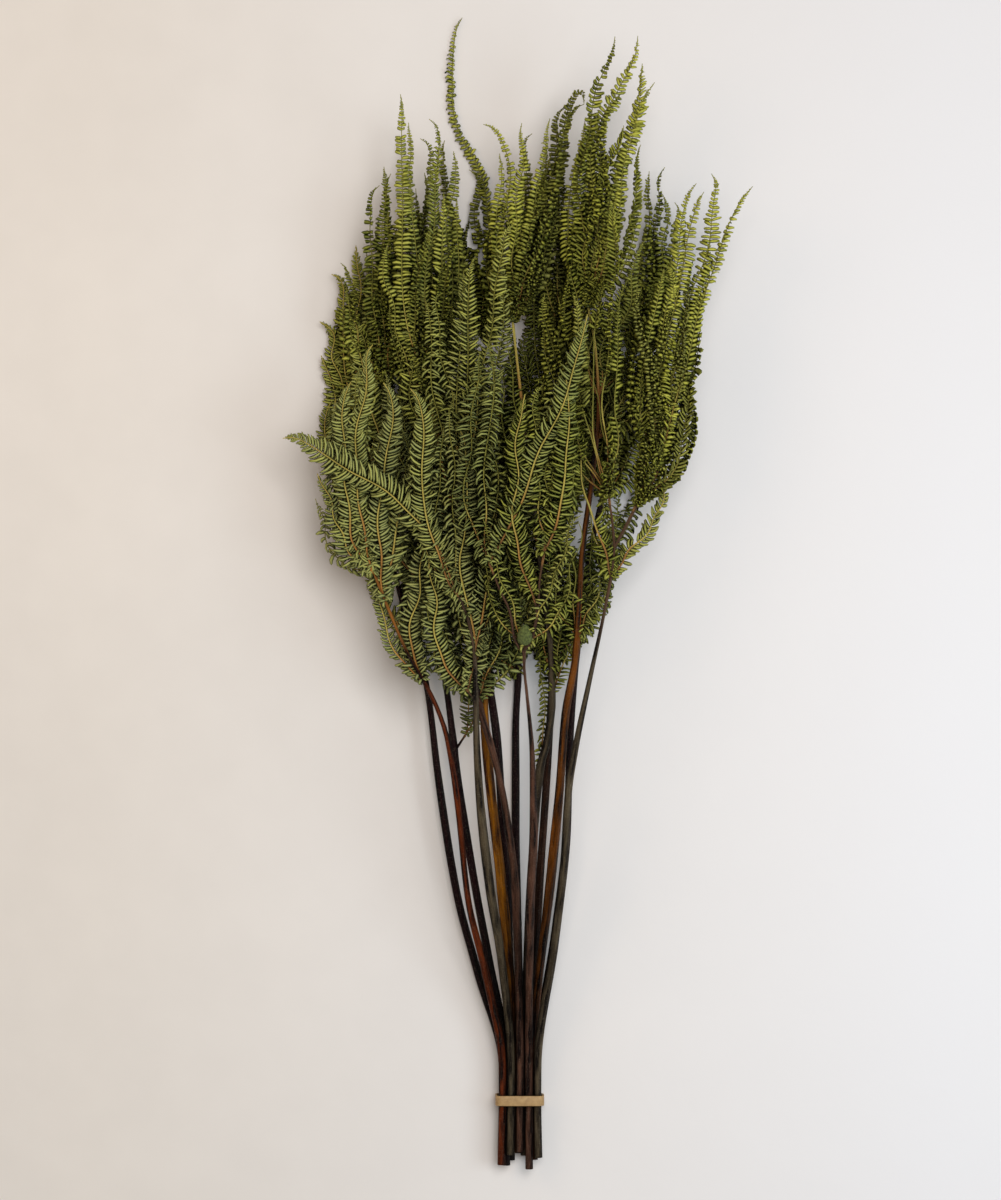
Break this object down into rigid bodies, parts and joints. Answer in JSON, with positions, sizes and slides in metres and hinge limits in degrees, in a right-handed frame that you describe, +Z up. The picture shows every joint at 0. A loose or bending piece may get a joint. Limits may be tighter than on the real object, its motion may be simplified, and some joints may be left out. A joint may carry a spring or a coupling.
{
  "type": "bracken frond bunch",
  "caption": "Tied bunch of forked bracken fronds lying flat: slender dark stems in a rubber band, fanning into a dense head of long comb-like olive-green pinnae.",
  "frame": {"origin": "on the surface that the bunch lies on, under the middle of its box", "axes": "+Y from the cut stem ends to the tips, +Z up from the surface, +X to the right when the tips point away"},
  "size_m": [0.319, 0.808, 0.1016],
  "materials": {
    "leaf": "matt, slightly waxy fern leaf",
    "stem": "dark brown ridged stem with a low sheen",
    "band": "plain tan rubber"
  },
  "bodies": {
    "root": {"frond_01": "leaf", "frond_02": "leaf", "frond_03": "leaf", "frond_04": "leaf", "frond_05": "leaf", "frond_06": "leaf", "frond_07": "leaf", "frond_08": "leaf", "frond_09": "leaf", "frond_10": "leaf", "frond_11": "leaf", "frond_12": "leaf", "frond_13": "leaf", "frond_14": "leaf", "rubber_band": "band"}
  },
  "joints": []
}
